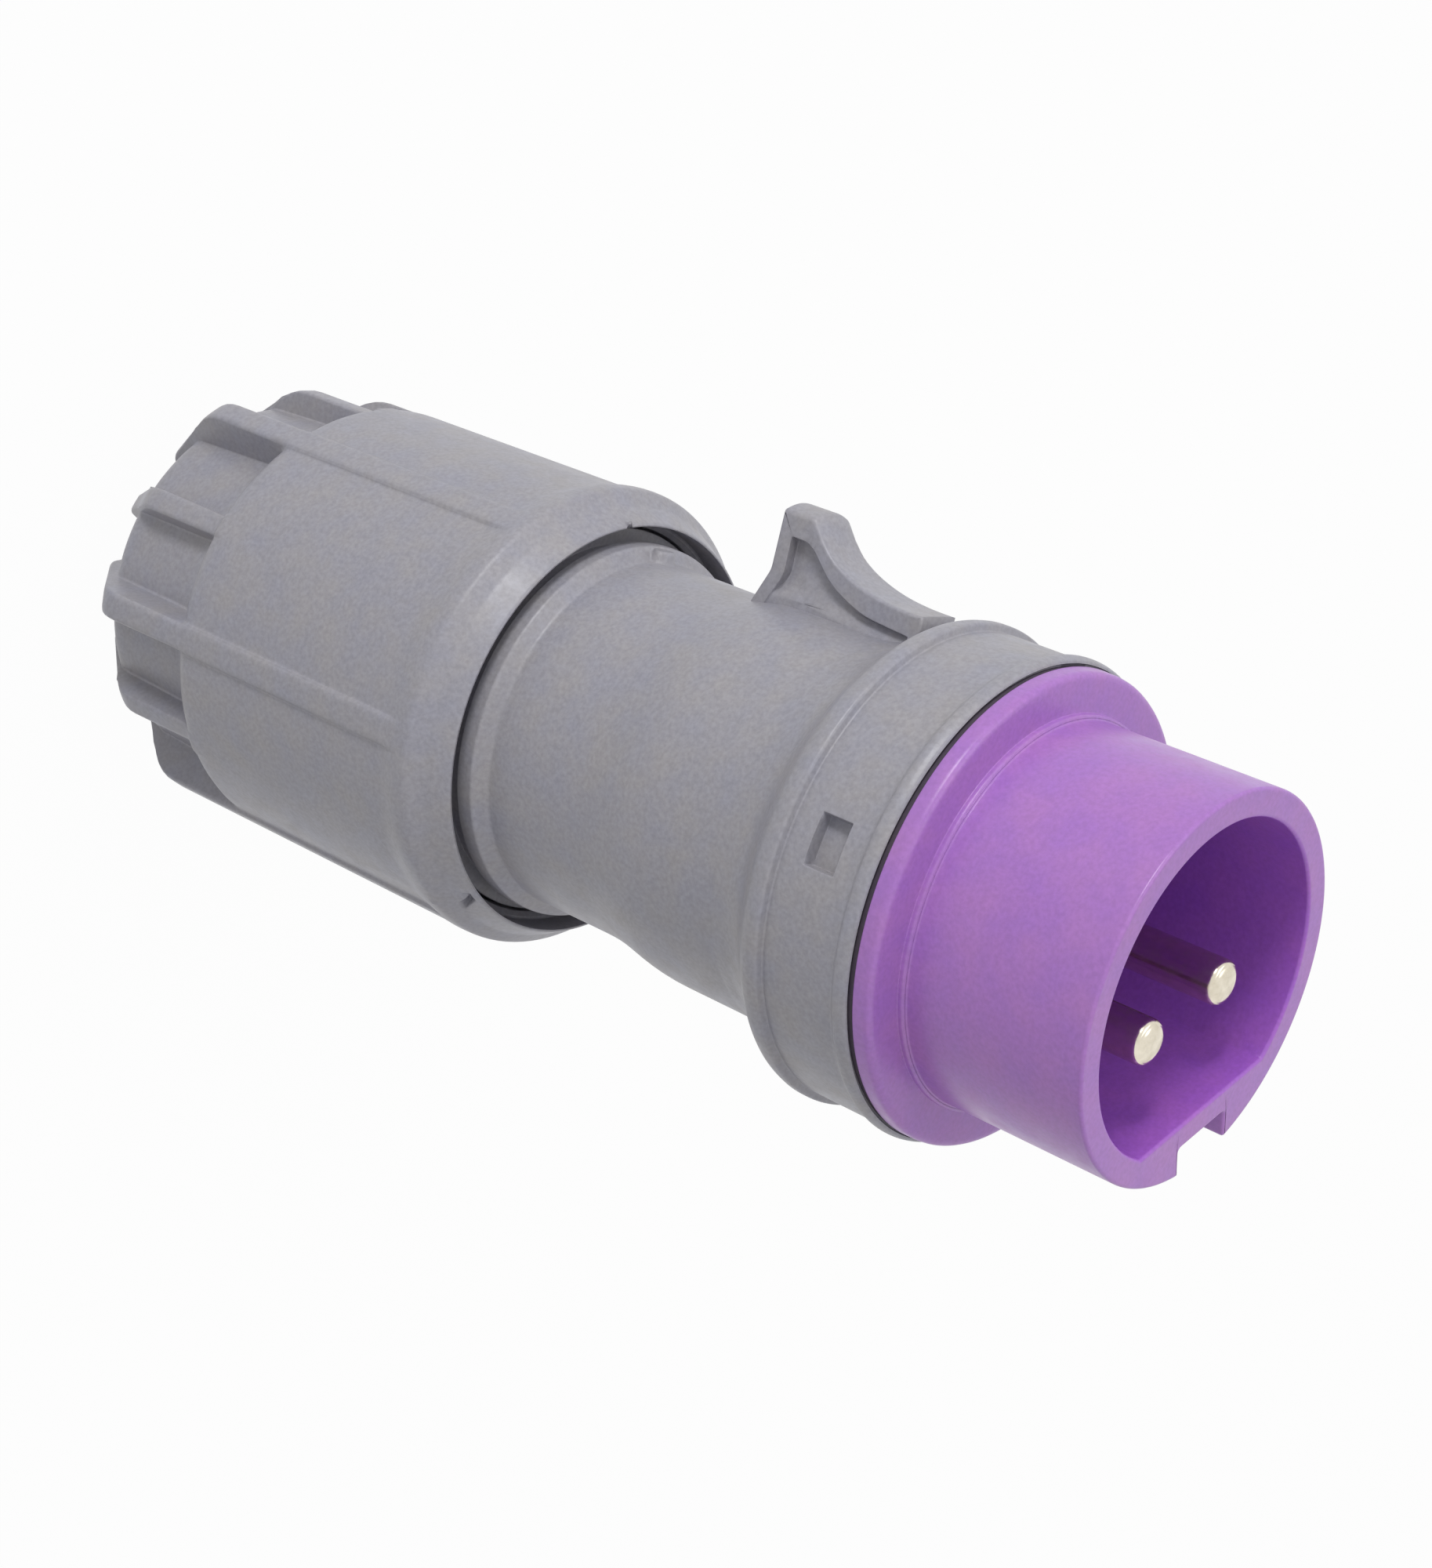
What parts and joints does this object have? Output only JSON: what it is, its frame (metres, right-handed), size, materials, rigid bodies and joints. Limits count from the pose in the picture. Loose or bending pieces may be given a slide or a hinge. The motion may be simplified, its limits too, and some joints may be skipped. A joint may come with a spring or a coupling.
{
  "type": "two-pin power plug",
  "caption": "Straight extra-low-voltage plug with round contact pins in a keyed round sleeve, a flanged grip housing with a latch tab, and a finned screw-on cable gland nut.",
  "frame": {"origin": "centre of the gland nut's rear face, on the plug's axis", "axes": "+Z along the plug's axis towards the contact pins, +Y towards the keyway of the sleeve"},
  "size_m": [0.06, 0.063, 0.1635],
  "materials": {
    "shroud_violet": "satin moulded polyamide, violet",
    "housing_grey": "finely speckled matt moulded polyamide, grey",
    "nut_grey": "finely speckled matt moulded polyamide, grey",
    "contact_nickel": "nickel-plated brass, polished",
    "screw_steel": "zinc-plated steel, satin",
    "retainer_black": "matt moulded polyamide, black",
    "seal_rubber": "matt moulded rubber, black",
    "clamp_white": "natural moulded polyamide, off-white"
  },
  "bodies": {
    "plug_body": {"shroud": "shroud_violet", "contact_pin_left": "contact_nickel", "contact_pin_right": "contact_nickel", "terminal_screw_left": "screw_steel", "terminal_screw_right": "screw_steel", "pin_retainer": "retainer_black", "retainer_screw_lower": "screw_steel", "retainer_screw_upper": "screw_steel", "flange_seal": "seal_rubber", "housing": "housing_grey", "cable_seal": "seal_rubber", "clamp_cage": "clamp_white"},
    "thrust_ring": {"thrust_ring": "clamp_white"},
    "gland_nut": {"gland_nut": "nut_grey"}
  },
  "joints": [
    {"name": "nut_turn", "type": "hinge", "parent": "gland_nut", "child": "thrust_ring", "pos_m": [0, 0, 0], "axis": [0, 0, 1], "range_deg": [0, 1800]},
    {"name": "nut_travel", "type": "slide", "parent": "thrust_ring", "child": "plug_body", "axis": [0, 0, 1], "range_m": [0, 0.02]}
  ],
  "couplings": [
    {"joint": "nut_travel", "follows": "nut_turn", "m_per_rad": 0.0006366}
  ]
}
